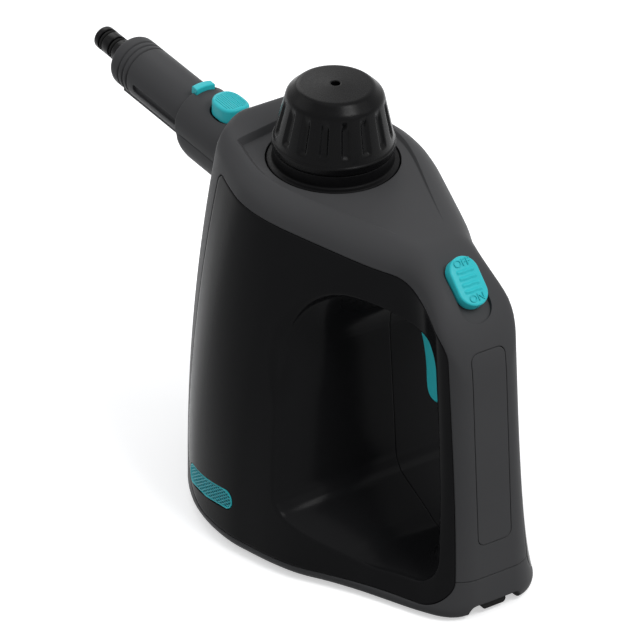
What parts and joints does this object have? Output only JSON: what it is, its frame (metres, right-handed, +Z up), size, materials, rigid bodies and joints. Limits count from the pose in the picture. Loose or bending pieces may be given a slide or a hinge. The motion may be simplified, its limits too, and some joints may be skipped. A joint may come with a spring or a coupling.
{
  "type": "handheld steam cleaner",
  "caption": "Jug-shaped handheld steam cleaner with a through grip, a fluted safety cap over the filler, a snout with a pull-out nozzle tube, a finger trigger and a slide switch.",
  "frame": {"origin": "bottom centre of the overall box, on the plane that the feet stand on", "axes": "+Z up; +X from the nozzle's end towards the grip's back; +Y to the right side seen from behind the grip"},
  "size_m": [0.304, 0.134, 0.1997],
  "materials": {
    "shell_grey": "satin moulded ABS, fine spark texture",
    "gloss_black": "polished piano black",
    "soft_black": "semi-gloss moulded nylon",
    "cyan": "satin coloured ABS",
    "rubber": "matt moulded rubber",
    "steel": "bright zinc-plated steel",
    "cast_aluminium": "as-cast aluminium",
    "brass": "turned brass",
    "heat_plastic": "heat-resistant moulded resin"
  },
  "bodies": {
    "body": {"housing": "shell_grey", "base_cover": "shell_grey", "side_panel_left": "gloss_black", "side_panel_right": "gloss_black", "grip_cover": "shell_grey", "badge": "cyan", "cord_gland": "rubber", "foot_front_left": "rubber", "foot_front_right": "rubber", "foot_rear_left": "rubber", "foot_rear_right": "rubber", "base_screw_front": "steel", "base_screw_left": "steel", "base_screw_right": "steel", "neck_collar": "soft_black", "boiler": "cast_aluminium", "heating_element": "steel", "boiler_bracket": "steel", "boiler_thermostat": "heat_plastic", "thermal_fuse": "heat_plastic", "outlet_pipe": "brass", "steam_valve": "heat_plastic", "nozzle_pipe": "brass", "nozzle_collar": "shell_grey", "collar_shell": "soft_black", "lever_pin": "steel", "trigger_pin": "steel", "trigger_microswitch": "soft_black", "switch_body": "soft_black"},
    "switch_key": {"power_switch": "cyan"},
    "trigger_arm": {"trigger": "cyan"},
    "seal": {"cap_seal": "rubber"},
    "cap": {"safety_cap": "soft_black", "cap_plug": "brass", "cap_spring": "steel", "relief_valve": "brass"},
    "latch": {"release_lever": "cyan"},
    "nozzle": {"nozzle_tube": "shell_grey", "nozzle_tip": "soft_black", "tip_o_ring_rear": "rubber", "tip_o_ring_front": "rubber"}
  },
  "joints": [
    {"name": "switch_slide", "type": "slide", "parent": "body", "child": "switch_key", "axis": [0.7133, 0, -0.7009], "range_m": [0, 0.0055]},
    {"name": "trigger_pull", "type": "hinge", "parent": "body", "child": "trigger_arm", "pos_m": [0.11552, 0, 0.1322], "axis": [0, -1, 0], "range_deg": [0, 8], "stiffness_Nm_per_rad": 0.4, "springref_deg": -2.86},
    {"name": "cap_lift", "type": "slide", "parent": "body", "child": "seal", "axis": [0.0471, 0, 0.9989], "range_m": [0, 0.006]},
    {"name": "cap_turn", "type": "hinge", "parent": "seal", "child": "cap", "pos_m": [0.02952, 0, 0.1622], "axis": [0.0471, 0, 0.9989], "range_deg": [0, 720]},
    {"name": "latch_press", "type": "hinge", "parent": "body", "child": "latch", "pos_m": [-0.05982, 0, 0.14644], "axis": [0, 1, 0], "range_deg": [0, 4.5], "stiffness_Nm_per_rad": 0.2, "springref_deg": -2.86},
    {"name": "nozzle_pull", "type": "slide", "parent": "body", "child": "nozzle", "axis": [-0.9989, 0, 0.0471], "range_m": [0, 0.03]}
  ],
  "couplings": [
    {"joint": "cap_lift", "follows": "cap_turn", "m_per_rad": 0.00047746}
  ]
}
